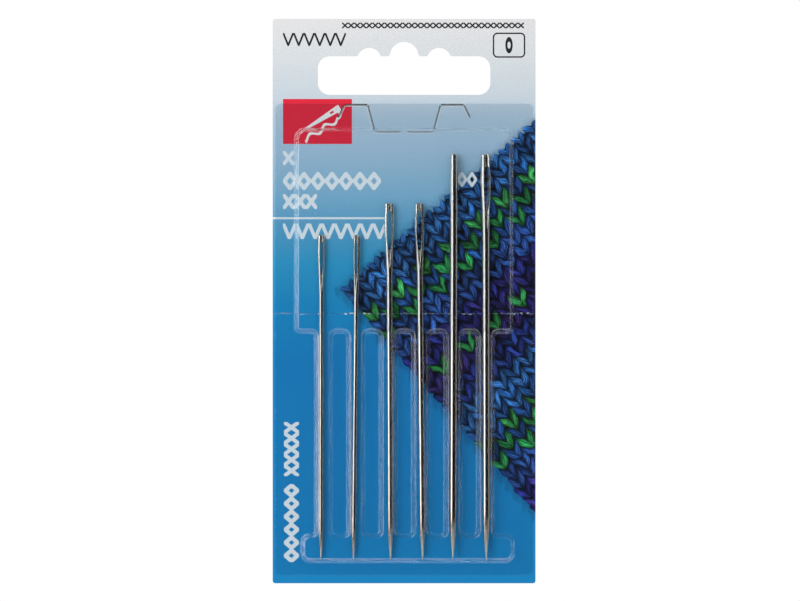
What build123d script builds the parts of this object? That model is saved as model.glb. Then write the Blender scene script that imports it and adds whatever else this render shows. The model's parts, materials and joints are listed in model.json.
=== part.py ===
from build123d import *

import os
from collections import namedtuple
from math import cos, hypot, radians, sin, tan

# A shop card of darning needles: a printed hang card, scored across and cut with a closing
# tongue, a clear thermoformed blister, and two loose needles in each of three sizes.
# The pack hangs upright. X runs to the right, Y to the back and Z up, and the origin is
# where a shop's hook carries the card, at the top of the hang slot's middle bump.
# All sizes are in millimetres.

# Card
card_thickness = 0.45
card_corner_radius = 0.5
card_side_margin = 4.17  # from the chamber's foot to the card's side edge
header_rise = 7.1  # from the hang slot's straight top edge to the card's top edge
slot_bridge = 2.0  # board left between the hang slot and the tongue's root
score_depth = 0.1  # the score line is a shallow V pressed into the printed face
crease_rise = 3.7  # the score line's height above the chamber's foot

# Hang slot
slot_width = 32.8
slot_height = 7.35
slot_corner_radius = 2.25
centre_bump_radius = 2.73
side_bump_spacing = 13.3
side_bump_radius = 2.3
side_bump_rise = 1.6
slot_cusp_radius = 0.45

# Closing tongue and the slit that frees it
slit_width = 0.18
tongue_length = 5.1
tongue_root_width = 14.0
tongue_tip_width = 11.3
slit_shoulder_width = 22.6
slit_end_width = 24.8
slit_end_length = 2.3
slit_bend_radius = 0.8
nick_width = 1.3  # the torn nick that held the tongue until the pack was opened
nick_clearance = 0.06
tongue_overlap = 0.9  # how far the tongue reaches down behind the chamber

# Blister sheet
sheet_thickness = 0.28
sheet_side_margin = 0.5
sheet_bottom_margin = 1.6
sheet_rim = 0.3  # sheet left above the tongue's root
sheet_corner_radius = 1.0
seal_thickness = 0.05  # heat-seal coat between the card and the sheet
draft_angle = 15.5
edge_bevel = 0.28  # the formed sheet's outer top edges
chamber_side = 3.7  # from the outer ribs' feet to the chamber's foot
chamber_corner_radius = 2.3
head_room = 4.6  # free height over the longest needle's head
rib_count = 6
rib_pitch = 6.16
rib_row_shift = 0.1
rib_length = 38.1
rib_play = 0.3  # how far the thickest needle can shift sideways in its channel
rib_mouth_radius = 1.2  # where a rib runs into the chamber
rib_end_radius = 0.6  # where it runs into the trough
rib_gap_share = 0.95  # most of the gap between two ribs that their roundings may take
trough_margin = 4.0  # from the card's bottom edge to the trough's foot
trough_height = 5.5
trough_left_reach = 2.6
trough_right_reach = 3.8
trough_corner_radius = 1.8

# Running clearances of the loose needles
seat_clearance = 0.08
side_clearance = 0.05
end_clearance = 0.1

# Small needles
small_length = 61.7
small_shaft = 0.95
small_head_width = 1.5
small_head_depth = 0.92
small_eye_length = 6.3
small_eye_width = 0.62
small_eye_drop = 1.35
small_gutter_length = 3.7
small_point_length = 6.5

# Medium needles
medium_length = 67.7
medium_shaft = 1.27
medium_head_width = 1.96
medium_head_depth = 1.22
medium_eye_length = 7.5
medium_eye_width = 1.0
medium_eye_drop = 1.5
medium_gutter_length = 4.0
medium_point_length = 8.0

# Large needles
large_length = 77.0
large_shaft = 1.5
large_head_width = 2.15
large_head_depth = 1.44
large_eye_length = 8.4
large_eye_width = 1.15
large_eye_drop = 2.3
large_gutter_length = 4.8
large_point_length = 9.5

# Values that every needle shares
point_tip_width = 0.2  # the points are blunted
point_steps = 4  # bands that follow the point's curve
gutter_angle = 50.0  # between a gutter's wall and the plane that halves the needle
gutter_start_share = 0.56  # where a gutter's root comes in, of the shaft's diameter
gutter_web_share = 0.3  # metal left between two gutters below the eye, of the head's depth
gutter_top_web_share = 0.08  # the same at the head's top
neck_length_share = 1.15  # length of the swelling below the eye, of the gutter there
head_shoulder_share = 0.8  # width of the head at the eye's lower end, of its full width
head_top_share = 0.84  # width and depth of the head's flat top, of its full size
swell_height_share = 0.62  # where the head is widest, of the eye's length
eye_end_share = 0.3  # width of the eye at its two ends, of its full width
eye_upper_taper_share = 0.12  # length over which the eye narrows upwards, of its length
eye_lower_taper_share = 0.28
top_bevel_share = 0.1  # bevel of the head's top edge, of the head's depth
cut_overrun = 1.0

NeedleSize = namedtuple(
    "NeedleSize",
    "length shaft head_width head_depth eye_length eye_width eye_drop gutter_length point_length",
)
small = NeedleSize(
    small_length, small_shaft, small_head_width, small_head_depth, small_eye_length,
    small_eye_width, small_eye_drop, small_gutter_length, small_point_length,
)
medium = NeedleSize(
    medium_length, medium_shaft, medium_head_width, medium_head_depth, medium_eye_length,
    medium_eye_width, medium_eye_drop, medium_gutter_length, medium_point_length,
)
large = NeedleSize(
    large_length, large_shaft, large_head_width, large_head_depth, large_eye_length,
    large_eye_width, large_eye_drop, large_gutter_length, large_point_length,
)

# The needles in their channels, from the left. A needle leans in its channel: its place at
# the channel's foot and mouth is a share of the side play that it has there. The turn is
# the angle by which its eye is turned away from the front.
Placement = namedtuple("Placement", "name size rib foot_share mouth_share turn")
placements = [
    Placement("needle_small_left", small, 0, -0.68, -0.60, 6.0),
    Placement("needle_small_right", small, 1, -0.58, -0.05, -14.0),
    Placement("needle_medium_left", medium, 2, 0.70, 0.43, 3.0),
    Placement("needle_medium_right", medium, 3, 0.54, -0.12, -6.0),
    Placement("needle_large_left", large, 4, -0.22, 0.14, 82.0),
    Placement("needle_large_right", large, 5, 0.28, 0.14, 28.0),
]

# Sizes that follow: the formed sheet is just deep enough for the widest head on edge
draft = radians(draft_angle)
wall_width = sheet_thickness / cos(draft)
form_height = large_head_width + 2 * seat_clearance + sheet_thickness
card_face = card_thickness / 2
sheet_face = card_face + seal_thickness


def head_reach(size, turn):
    """Half the thickness that a turned head has from front to back."""
    across = size.head_width / 2 * sin(radians(turn))
    through = size.head_depth / 2 * cos(radians(turn))
    return max(hypot(across, through), size.shaft / 2)


def seat_height(size, turn):
    """Height of a needle's axis over the card's face, so that head and shaft both clear it."""
    return seat_clearance + head_reach(size, turn)


def side_play(size, turn, width):
    """How far a needle can shift either way in a channel of that width at its foot."""
    wall_at_axis = width / 2 - wall_width - (seat_height(size, turn) - seal_thickness) * tan(draft)
    return wall_at_axis - (size.shaft / 2 + side_clearance) / cos(draft)


# A channel is as wide as the needle that fills it most, and that needle's play to each side
least_play = min(side_play(place.size, place.turn, 0) for place in placements)
rib_width = 2 * (rib_play - least_play)

# Heights: the pack is stacked up from its point trough, and the longest needle sets it
trough_top = trough_margin + trough_height
chamber_foot = trough_top + rib_length
tip_rest = trough_margin + wall_width + form_height * tan(draft) + end_clearance
chamber_top = tip_rest + large_length + head_room
tongue_tip = chamber_top - tongue_overlap
tongue_root = tongue_tip + tongue_length
slot_floor = tongue_root + slot_bridge
slot_ceiling = slot_floor + slot_height
card_height = slot_ceiling + header_rise
crease = chamber_foot + crease_rise
hook_seat = slot_ceiling + centre_bump_radius

# Widths
rib_row_width = (rib_count - 1) * rib_pitch + rib_width
chamber_width = rib_row_width + 2 * chamber_side
card_width = chamber_width + 2 * card_side_margin
sheet_width = card_width - 2 * sheet_side_margin


def level(height):
    """Turns a height above the card's bottom edge into a Z of the part."""
    return height - hook_seat


def middle(low, high):
    return level((low + high) / 2)


def rib_centre(index):
    return rib_row_shift + (index - (rib_count - 1) / 2) * rib_pitch


# Card: the slit is one bent cut, and the part of the board inside its valley is the tongue
slit_points = [
    (-slit_end_width / 2, level(tongue_root - slit_end_length)),
    (-slit_shoulder_width / 2, level(tongue_root)),
    (-tongue_root_width / 2, level(tongue_root)),
    (-tongue_tip_width / 2, level(tongue_tip)),
    (tongue_tip_width / 2, level(tongue_tip)),
    (tongue_root_width / 2, level(tongue_root)),
    (slit_shoulder_width / 2, level(tongue_root)),
    (slit_end_width / 2, level(tongue_root - slit_end_length)),
]
with BuildLine() as slit_line:
    FilletPolyline(*slit_points, radius=slit_bend_radius)

shoulder_middle = (tongue_root_width + slit_shoulder_width) / 4
with BuildSketch(Plane.XZ) as tongue_region:
    with Locations((0, middle(tongue_tip, tongue_root))):
        Rectangle(2 * shoulder_middle, tongue_length)
    trace(slit_line.line, slit_width, mode=Mode.SUBTRACT)
tongue_centre = (0, 0, middle(tongue_tip, tongue_root))
tongue_face = tongue_region.sketch.faces().sort_by_distance(tongue_centre)[0]

with BuildPart() as card_header:
    with BuildSketch(Plane.XZ) as header_board:
        with Locations((0, middle(crease, card_height))):
            Rectangle(card_width, card_height - crease)
        fillet(header_board.vertices().group_by(Axis.Y)[-1], card_corner_radius)
    extrude(amount=card_face, both=True)
    with BuildSketch(Plane.XZ) as hang_slot:
        with Locations((0, middle(slot_floor, slot_ceiling))):
            RectangleRounded(slot_width, slot_height, slot_corner_radius)
        with Locations((0, level(slot_ceiling))):
            Circle(centre_bump_radius)
        side_bump_height = level(slot_ceiling + side_bump_rise - side_bump_radius)
        side_bumps = [(side * side_bump_spacing / 2, side_bump_height) for side in (-1, 1)]
        with Locations(*side_bumps):
            Circle(side_bump_radius)
        cusps = [
            corner
            for corner in hang_slot.vertices()
            if abs(corner.Y - level(slot_ceiling)) < slot_cusp_radius
            and abs(corner.X) < slot_width / 2 - slot_corner_radius - slot_cusp_radius
        ]
        fillet(cusps, slot_cusp_radius)
    extrude(amount=card_thickness, both=True, mode=Mode.SUBTRACT)
    extrude(tongue_face, amount=card_thickness, both=True, mode=Mode.SUBTRACT)
    with BuildSketch(Plane.XZ) as slit:
        trace(slit_line.line, slit_width)
        with Locations((0, level(tongue_tip - nick_clearance / 2))):
            Rectangle(nick_width, slit_width - nick_clearance, mode=Mode.SUBTRACT)
    extrude(amount=card_thickness, both=True, mode=Mode.SUBTRACT)
    front_edges = card_header.edges().filter_by(Axis.X).group_by(Axis.Y)[0]
    chamfer(front_edges.sort_by(Axis.Z)[0], score_depth)
card_header.part.label = "card_header"

with BuildPart() as card_tongue:
    extrude(tongue_face, amount=card_face, both=True)
card_tongue.part.label = "card_tongue"

with BuildPart() as card_base:
    with BuildSketch(Plane.XZ) as base_board:
        with Locations((0, middle(0, crease))):
            Rectangle(card_width, crease)
        fillet(base_board.vertices().group_by(Axis.Y)[0], card_corner_radius)
    extrude(amount=card_face, both=True)
    front_edges = card_base.edges().filter_by(Axis.X).group_by(Axis.Y)[0]
    chamfer(front_edges.sort_by(Axis.Z)[-1], score_depth)
card_base.part.label = "card_base"


# Blister: one drafted relief of chamber, ribs and trough, raised from a flat sheet. The
# cavity is the same relief, drawn in by the sheet's thickness and lower by it.
def draw_relief(inset):
    """The relief's foot outline, drawn in by the inset all round."""
    with Locations((0, middle(chamber_foot, chamber_top))):
        RectangleRounded(
            chamber_width - 2 * inset,
            chamber_top - chamber_foot - 2 * inset,
            chamber_corner_radius - inset,
        )
    left_end = rib_centre(0) - rib_width / 2 - trough_left_reach
    right_end = rib_centre(rib_count - 1) + rib_width / 2 + trough_right_reach
    with Locations(((left_end + right_end) / 2, middle(trough_margin, trough_top))):
        RectangleRounded(
            right_end - left_end - 2 * inset,
            trough_height - 2 * inset,
            trough_corner_radius - inset,
        )
    rib_middle = middle(trough_top, chamber_foot)
    with Locations(*[(rib_centre(index), rib_middle) for index in range(rib_count)]):
        Rectangle(rib_width - 2 * inset, rib_length + 2 * inset)


def rib_corners(outline, height):
    """The corners that the ribs make at that height with what they run into."""
    reach = rib_row_width / 2 + rib_row_shift + sheet_thickness / 2
    return [
        corner
        for corner in outline.vertices()
        if abs(corner.X) < reach and abs(corner.Y - level(height)) < sheet_thickness / 2
    ]


def round_rib_corners(outline, inset):
    """Rounds the relief's inner corners, by more where it is drawn in."""
    widest = (rib_pitch - rib_width) / 2 * rib_gap_share
    fillet(rib_corners(outline, chamber_foot + inset), min(rib_mouth_radius, widest) + inset)
    fillet(rib_corners(outline, trough_top - inset), min(rib_end_radius, widest) + inset)


with BuildPart() as blister:
    sheet_plane = Plane.XZ.offset(sheet_face)
    sheet_top = tongue_root + sheet_rim
    with BuildSketch(sheet_plane):
        with Locations((0, middle(sheet_bottom_margin, sheet_top))):
            RectangleRounded(sheet_width, sheet_top - sheet_bottom_margin, sheet_corner_radius)
    extrude(amount=sheet_thickness)
    with BuildSketch(sheet_plane) as relief:
        draw_relief(0)
        round_rib_corners(relief, 0)
    extrude(amount=form_height, taper=draft_angle)
    chamfer(blister.faces().sort_by(Axis.Y)[0].edges(), edge_bevel)
    with BuildSketch(sheet_plane) as cavity:
        draw_relief(wall_width)
        round_rib_corners(cavity, wall_width)
    extrude(amount=form_height - sheet_thickness, taper=draft_angle, mode=Mode.SUBTRACT)
blister.part.label = "blister"


# Needles: a long point and a round shaft that ends in a drawn-out oval head, pierced by the
# eye and grooved above and below it on both faces so that the yarn lies in line. Each size
# is made once, point down, with its tip at the origin and its eye facing the front.
def build_needle(size):
    eye_top = size.length - size.eye_drop
    eye_bottom = eye_top - size.eye_length
    neck = eye_bottom - size.gutter_length * neck_length_share
    with BuildPart() as needle:
        # Point: each section closes on the shaft's full thickness by the square of what is left
        sections = []
        for step in range(point_steps + 1):
            share = step / point_steps
            thickness = size.shaft - (size.shaft - point_tip_width) * (1 - share) ** 2
            sections.append((size.point_length * share, thickness, thickness))

        # Head: it swells from the shaft to an oval and closes a little to its bevelled top
        bevel = size.head_depth * top_bevel_share
        top_width = size.head_width * head_top_share
        top_depth = size.head_depth * head_top_share
        shoulder_width = size.head_width * head_shoulder_share
        shoulder_depth = (size.shaft + size.head_depth) / 2
        sections += [
            (neck, size.shaft, size.shaft),
            (eye_bottom, shoulder_width, shoulder_depth),
            (eye_bottom + size.eye_length * swell_height_share, size.head_width, size.head_depth),
            (size.length - bevel, top_width, top_depth),
            (size.length, top_width - 2 * bevel, top_depth - 2 * bevel),
        ]
        for height, width, depth in sections:
            with BuildSketch(Plane.XY.offset(height)):
                Ellipse(width / 2, depth / 2)
        loft(ruled=True)

        # Gutters: on each face a V groove comes in from the neck and runs on through the top
        outside = size.head_depth
        stations = [
            (eye_bottom - size.gutter_length, size.shaft * gutter_start_share),
            (eye_bottom, size.head_depth * gutter_web_share / 2),
            (size.length + cut_overrun, size.head_depth * gutter_top_web_share / 2),
        ]
        for face_side in (1, -1):
            for height, root in stations:
                spread = (outside - root) * tan(radians(gutter_angle))
                with BuildSketch(Plane.XY.offset(height)):
                    with BuildLine():
                        Polyline(
                            (0, face_side * root),
                            (spread, face_side * outside),
                            (-spread, face_side * outside),
                            close=True,
                        )
                    make_face()
            loft(ruled=True, mode=Mode.SUBTRACT)

        # Eye: a long hole with drawn-in ends
        end_half = size.eye_width * eye_end_share / 2
        full_half = size.eye_width / 2
        upper_full = eye_top - size.eye_length * eye_upper_taper_share
        lower_full = eye_bottom + size.eye_length * eye_lower_taper_share
        with BuildSketch(Plane.XZ):
            with BuildLine():
                Polyline(
                    (end_half, eye_top),
                    (full_half, upper_full),
                    (full_half, lower_full),
                    (end_half, eye_bottom),
                    (-end_half, eye_bottom),
                    (-full_half, lower_full),
                    (-full_half, upper_full),
                    (-end_half, eye_top),
                    close=True,
                )
            make_face()
        extrude(amount=size.head_width, both=True, mode=Mode.SUBTRACT)
    return needle


def needle_place(place):
    """A placed needle's frame: origin at its tip, x across the eye's face, z up the shaft."""
    size = place.size
    play = side_play(size, place.turn, rib_width)
    foot_x = rib_centre(place.rib) + place.foot_share * play
    mouth_x = rib_centre(place.rib) + place.mouth_share * play
    slope = (mouth_x - foot_x) / rib_length
    along = Vector(slope, 0, 1).normalized()
    across = Vector(1, 0, -slope).normalized()
    facing = across * cos(radians(place.turn)) + Vector(0, 1, 0) * sin(radians(place.turn))
    seat = seat_height(size, place.turn)
    tip_reach = seat + point_tip_width / 2
    tip_height = trough_margin + wall_width + tip_reach * tan(draft) + end_clearance
    tip = Vector(foot_x + slope * (tip_height - trough_top), -card_face - seat, level(tip_height))
    return Plane(origin=tip, x_dir=facing, z_dir=along)


masters = {size: build_needle(size) for size in (small, medium, large)}
needles = []
for place in placements:
    with BuildPart() as needle:
        with Locations(needle_place(place).location):
            add(masters[place.size].part)
    needle.part.label = place.name
    needles.append(needle)

os.makedirs("parts", exist_ok=True)
export_step(card_header.part, "parts/card_header.step")
export_step(card_base.part, "parts/card_base.step")
export_step(card_tongue.part, "parts/card_tongue.step")
export_step(blister.part, "parts/blister.step")
for needle in needles:
    export_step(needle.part, f"parts/{needle.part.label}.step")

# What the record needs: the card's size, the joints' axes and each needle's free travel
print(f"card {card_width:.2f} x {card_height:.2f} mm, formed sheet {form_height:.2f} mm high")
print(f"fold axis: y {card_face:.3f}, z {level(crease):.3f}; tongue root z {level(tongue_root):.3f}")
print(f"slot: z {level(slot_floor):.2f} to {level(slot_ceiling):.2f}")
for place in placements:
    frame = needle_place(place)
    seat = seat_height(place.size, place.turn)
    head_height = frame.origin.Z + place.size.length * frame.z_dir.Z
    front_reach = seat + head_reach(place.size, place.turn)
    stop = level(chamber_top) - wall_width - front_reach * tan(draft)
    travel = stop - head_height - end_clearance
    direction = ", ".join(f"{part:.6f}" for part in frame.z_dir)
    print(f"{place.name}: axis ({direction}), tip z {frame.origin.Z:.3f}, travel {travel:.2f}")
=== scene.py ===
# %% [markdown]
# # A shop pack of yarn darning needles
# The object is a printed hang card with a clear formed blister on its front, and six steel darning
# needles that lie loose in the blister's channels. The CAD model gives every place and size, so
# this script only adds what a solid can't carry: the soft curves of formed film, the swaged needle
# eyes, the print and the finishes. All of it stands in the same frame: metres, X right, Z up, and
# the printed face looks along -Y.

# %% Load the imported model
import json
import math

import bmesh
import bpy
import numpy as np
from mathutils.geometry import tessellate_polygon
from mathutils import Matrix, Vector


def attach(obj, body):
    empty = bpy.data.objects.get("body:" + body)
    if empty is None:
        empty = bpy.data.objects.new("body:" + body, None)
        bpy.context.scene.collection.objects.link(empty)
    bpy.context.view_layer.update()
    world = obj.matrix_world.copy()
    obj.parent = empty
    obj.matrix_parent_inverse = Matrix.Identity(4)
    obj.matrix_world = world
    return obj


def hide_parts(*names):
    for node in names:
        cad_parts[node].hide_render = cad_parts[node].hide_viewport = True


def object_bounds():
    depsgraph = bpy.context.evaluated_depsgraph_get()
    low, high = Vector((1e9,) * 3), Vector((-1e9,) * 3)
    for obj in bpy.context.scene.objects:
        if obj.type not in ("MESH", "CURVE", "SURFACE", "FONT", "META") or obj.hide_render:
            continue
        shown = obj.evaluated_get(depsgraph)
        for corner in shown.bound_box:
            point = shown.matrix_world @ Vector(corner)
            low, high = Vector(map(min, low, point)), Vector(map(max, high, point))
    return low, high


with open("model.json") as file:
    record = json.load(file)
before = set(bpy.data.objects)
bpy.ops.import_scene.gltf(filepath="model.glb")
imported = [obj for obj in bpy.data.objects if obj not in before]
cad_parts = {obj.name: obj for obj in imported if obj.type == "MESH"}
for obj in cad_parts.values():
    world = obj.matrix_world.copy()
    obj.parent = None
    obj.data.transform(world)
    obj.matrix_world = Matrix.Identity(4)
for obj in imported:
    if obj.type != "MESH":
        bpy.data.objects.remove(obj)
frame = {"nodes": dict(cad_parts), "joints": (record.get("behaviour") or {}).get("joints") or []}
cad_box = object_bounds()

MM = 0.001
quarter_turn = math.pi / 2
scene = bpy.context.scene
scene.view_settings.view_transform = "Standard"


def in_mm(box):
    """The two corners of a box in millimetres, for printing."""
    return [[round(value / MM, 2) for value in corner] for corner in box]


print("nodes:", sorted(frame["nodes"]), "box:", in_mm(cad_box))

# %% [markdown]
# ## Sizes that the pieces share
# The frame gives the card's outer sides, the two lines that it bends about and each needle's axis.
# The other sizes of the card, the sheet and its relief could be typed as places. Here they are
# margins and lengths from those sides, in millimetres, so they can't drift away from the model.

# %% Sizes of the card
joints = {joint["name"]: joint for joint in frame["joints"]}
card_half_width, card_back, card_top = (value / MM for value in cad_box[1])
card_foot = cad_box[0][2] / MM
print_plane = -card_back
crease = joints["card_fold"]["pos_m"][2] / MM
tongue_root = joints["tongue_bend"]["pos_m"][2] / MM
tongue_length, tongue_root_width, tongue_tip_width = 5.1, 14.0, 11.3
slit_shoulder_width, slit_end_width, slit_end_length, slit_bend_radius = 22.6, 24.8, 2.3, 0.8
nick_width = 1.3
tongue_tip = tongue_root - tongue_length
print("card", round(2 * card_half_width, 2), "by", round(card_top - card_foot, 2), "mm, folds at", crease)

# %% Sizes of the sheet and its relief
seal_thickness, sheet_thickness = 0.05, 0.28
sheet_side_margin, sheet_foot_margin, sheet_rim = 0.5, 1.6, 0.3
chamber_margin, chamber_side, tongue_overlap = 4.17, 3.7, 0.9
trough_margin, trough_height, trough_left_reach, trough_right_reach = 4.0, 5.5, 2.6, 3.8
rib_count, rib_pitch, rib_row_shift, rib_length = 6, 6.16, 0.1, 38.1
sheet_face = print_plane - seal_thickness - sheet_thickness
form_height = sheet_face - cad_box[0][1] / MM
sheet_half_width = card_half_width - sheet_side_margin
sheet_foot, sheet_top = card_foot + sheet_foot_margin, tongue_root + sheet_rim
trough_foot = card_foot + trough_margin
trough_top = trough_foot + trough_height
chamber_foot, chamber_top = trough_top + rib_length, tongue_tip + tongue_overlap
chamber_half_width = card_half_width - chamber_margin
rib_centres = rib_row_shift + rib_pitch * (np.arange(rib_count) - (rib_count - 1) / 2)
rib_half = chamber_half_width - chamber_side - rib_pitch * (rib_count - 1) / 2
print("relief", round(form_height, 2), "mm high, ribs", round(2 * rib_half, 2), "mm wide at", rib_centres)

# %% [markdown]
# ## The camera
# The photograph was taken straight on, from far enough away that the card shows no taper. A lens of
# 284 mm from 1.2 m gives that look: its picture is 152.2 mm wide where the card hangs, which puts
# 5.256 picture points on each millimetre of the card, as in the photograph.

# %% Camera
picture_width = 152.2 * MM
picture_middle = (-0.78 * MM, -49.2 * MM)
camera_distance = 1.2
camera_data = bpy.data.cameras.new("front_camera")
camera_data.sensor_width = 36.0
camera_data.lens = camera_data.sensor_width * camera_distance / picture_width
camera = bpy.data.objects.new("front_camera", camera_data)
camera.location = (picture_middle[0], -camera_distance, picture_middle[1])
camera.rotation_euler = (quarter_turn, 0, 0)
scene.collection.objects.link(camera)
scene.camera = camera
print("lens", round(camera_data.lens, 1), "mm, width of the view", picture_width / MM, "mm")

# %% [markdown]
# ## Small helpers for every finish
# A paint chip or a photograph names a colour in sRGB, while the renderer counts light in linear
# numbers, so one function turns the first into the second. Another adds one node and joins it up.
# Written this way, a pattern reads like the formula that it is. The rest fill a colour ramp, start a
# material and give a piece's own coordinates in millimetres.

# %% Helpers for colours and nodes
def paint(code):
    """'#RRGGBB' as linear red, green, blue, alpha: below 0.04045 a channel is divided by 12.92,
    above it is (c + 0.055) / 1.055 to the power 2.4."""
    channels = np.array([int(code[start:start + 2], 16) for start in (1, 3, 5)]) / 255
    linear = np.where(channels <= 0.04045, channels / 12.92, ((channels + 0.055) / 1.055) ** 2.4)
    return (*linear.tolist(), 1.0)


def put(tree, kind, *inputs, **named):
    """Adds one shader node. inputs go to its sockets in order: a node stands for its first output,
    None leaves a socket. A name with a capital is a socket, any other is an option of the node."""
    made = tree.nodes.new("ShaderNode" + kind)
    sockets = []
    for name, given in named.items():
        if name[0].isupper():
            sockets.append((made.inputs[name.replace("_", " ")], given))
        else:
            setattr(made, name, given)
    for socket, given in sockets + list(zip(made.inputs, inputs)):
        if isinstance(given, bpy.types.Node):
            given = given.outputs[0]
        if isinstance(given, bpy.types.NodeSocket):
            tree.links.new(given, socket)
        elif given is not None:
            socket.default_value = given
    return made


def lay_colours(ramp, stops):
    """Fills a colour ramp: stops are (place from 0 to 1, '#RRGGBB')."""
    elements = ramp.color_ramp.elements
    while len(elements) < len(stops):
        elements.new(1.0)
    for element, (position, code) in zip(elements, stops):
        element.position = position
        element.color = paint(code)
    return ramp


def new_finish(name):
    """An empty material, ready for nodes, and its tree."""
    material = bpy.data.materials.new(name)
    material.use_nodes = True
    material.node_tree.nodes.clear()
    return material, material.node_tree


def own_millimetres(tree):
    """A piece's own coordinates in millimetres: its Object coordinates, which are metres, by 1000."""
    place = put(tree, "TexCoord").outputs["Object"]
    return put(tree, "VectorMath", place, (1 / MM, 1 / MM, 1 / MM), operation="MULTIPLY")


print("mid grey #808080 is", round(paint("#808080")[0], 3), "in linear light")

# %% [markdown]
# ## The studio
# Small shiny goods are photographed in a white sweep with one soft lamp to the left. The lamp is
# tall, because a straight needle mirrors only what stands level with it, and a tall lamp draws one
# unbroken bright line along it. The room's white gives the rest of the light, so that a printed
# colour comes out about as it is written. Towards the camera the room is darker on the right, and
# polished steel takes its dark bands from there. Only light that a shiny surface has sent back
# meets that dark side, so the room asks how often the light has been mirrored.

# %% Room light
world = bpy.data.worlds.new("studio")
scene.world = world
world.use_nodes = True
room = world.node_tree
room.nodes.clear()
ray = put(room, "LightPath").outputs
direction = put(room, "SeparateXYZ", put(room, "TexCoord").outputs["Generated"]).outputs
room_light = 0.675
white = paint("#FFFFFF")
left_to_right = put(room, "MapRange", direction["X"], -1.0, 1.0, 0.0, 1.0)
front_stops = [
    (0.0, "#6E675E"), (0.03, "#7C756B"), (0.1, "#8A8278"), (0.2, "#948C82"), (0.27, "#7A7168"),
    (0.31, "#3E342E"), (0.36, "#241B17"), (0.6, "#1A1310"), (0.93, "#221A16"), (0.97, "#4A443C"),
    (0.99, "#8E887C"), (1.0, "#C8C4BA")]
front_tone = lay_colours(put(room, "ValToRGB", left_to_right), front_stops)
steep = put(room, "MapRange", put(room, "Math", direction["Z"], operation="ABSOLUTE"), 0.15, 0.5, 0.0, 1.0)
front_tone = put(room, "MixRGB", steep, front_tone, paint("#505254"))
towards_back = put(room, "MapRange", direction["Y"], -0.12, 0.12, 0.0, 1.0)
mirrored_room = put(room, "MixRGB", towards_back, front_tone, white)
seen_plainly = put(room, "Math", ray["Is Camera Ray"], ray["Is Transmission Ray"], operation="MAXIMUM")
plain_room = put(room, "MixRGB", seen_plainly, (room_light, room_light, room_light, 1.0), white)
was_mirrored = put(room, "Math", ray["Glossy Depth"], 0.5, operation="GREATER_THAN")
not_scattered = put(room, "Math", 1.0, ray["Is Diffuse Ray"], operation="SUBTRACT")
by_mirror = put(room, "Math", was_mirrored, not_scattered, operation="MULTIPLY")
room_colour = put(room, "MixRGB", by_mirror, plain_room, mirrored_room)
put(room, "OutputWorld", put(room, "Background", room_colour, 1.0))
print("light from the room:", room_light)

# %% Lamp
def soft_lamp(name, place, target, width, height, power):
    """A rectangle of light at place that faces target."""
    lamp_data = bpy.data.lights.new(name, "AREA")
    lamp_data.shape = "RECTANGLE"
    lamp_data.size = width
    lamp_data.size_y = height
    lamp_data.energy = power
    lamp = bpy.data.objects.new(name, lamp_data)
    away = np.array(place) - np.array(target)
    lamp.location = place
    lamp.rotation_euler = (
        math.atan2(math.hypot(away[0], away[1]), away[2]),
        0,
        math.atan2(away[1], away[0]) + quarter_turn,
    )
    scene.collection.objects.link(lamp)
    return lamp


key_lamp = soft_lamp(
    "key_lamp", place=(-0.50, -0.46, 0.27), target=(0, 0, -50 * MM), width=0.5, height=1.0, power=4.2)
print("lamp:", key_lamp.name, key_lamp.data.energy, "W")

# %% Two helpers for new pieces
def grid_faces(first, rows, columns):
    """Four-sided faces of a grid of points that is stored row by row: each takes a point, the next
    one in its row and the two above them in the next row. first is the number of the first point."""
    row = np.arange(rows - 1)[:, None]
    column = np.arange(columns - 1)[None, :]
    corner = first + row * columns + column
    return np.stack([corner, corner + 1, corner + columns + 1, corner + columns], axis=-1).reshape(-1, 4)


def new_piece(name, points, faces):
    """A mesh object at the origin, from points in millimetres and a list of faces."""
    mesh = bpy.data.meshes.new(name)
    mesh.from_pydata((points * MM).tolist(), [], faces)
    piece = bpy.data.objects.new(name, mesh)
    scene.collection.objects.link(piece)
    return piece


print("a grid of 3 by 3 points has", len(grid_faces(0, 3, 3)), "faces")

# %% Floor
floor_height, floor_reach, floor_lines = -150, 550, 12
floor_side = np.linspace(-floor_reach, floor_reach, floor_lines)
floor_across, floor_along = np.meshgrid(floor_side, floor_side)
floor_points = np.stack([floor_across, floor_along, np.full_like(floor_across, floor_height)], axis=-1)
studio_floor = new_piece(
    "studio_floor", floor_points.reshape(-1, 3), grid_faces(0, floor_lines, floor_lines).tolist())

floor_paint, tree = new_finish("matt_floor")
floor_place = put(tree, "TexCoord").outputs["Object"]
flat_place = put(tree, "VectorMath", floor_place, (1.0, 1.0, 0.0), operation="MULTIPLY")
from_middle = put(tree, "VectorMath", flat_place, operation="LENGTH").outputs["Value"]
fading = put(tree, "MapRange", from_middle, 0.2, 0.95 * floor_reach * MM, 0.0, 1.0)
floor_grain = put(tree, "TexNoise", floor_place, Scale=60.0, Detail=2.0)
floor_colour = put(tree, "MixRGB", floor_grain, paint("#F1F1EF"), paint("#EEEEEC"))
floor_shader = put(tree, "BsdfPrincipled", Base_Color=floor_colour, Roughness=0.75)
put(tree, "OutputMaterial", put(tree, "MixShader", fading, floor_shader, put(tree, "BsdfTransparent")))
studio_floor.data.materials.append(floor_paint)
print("floor", round(card_foot - floor_height, 1), "mm below the card")

# %% [markdown]
# ## The printed card
# The card is folding boxboard of 0.45 mm: white-coated on the printed side, plain at the back, offset
# printed and varnished. It could be dressed with a picture, but a procedural print stays sharp at
# any size and can be changed by a number. The print is worked out from the card's own coordinates in
# millimetres, and shapes are made as masks that are 1 inside and 0 outside. Layers are then laid on
# one after another, as inks are.

# %% Places on the card
points_per_mm = 5.256
picture_card_middle, picture_card_foot = 404.1, 583.2


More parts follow.
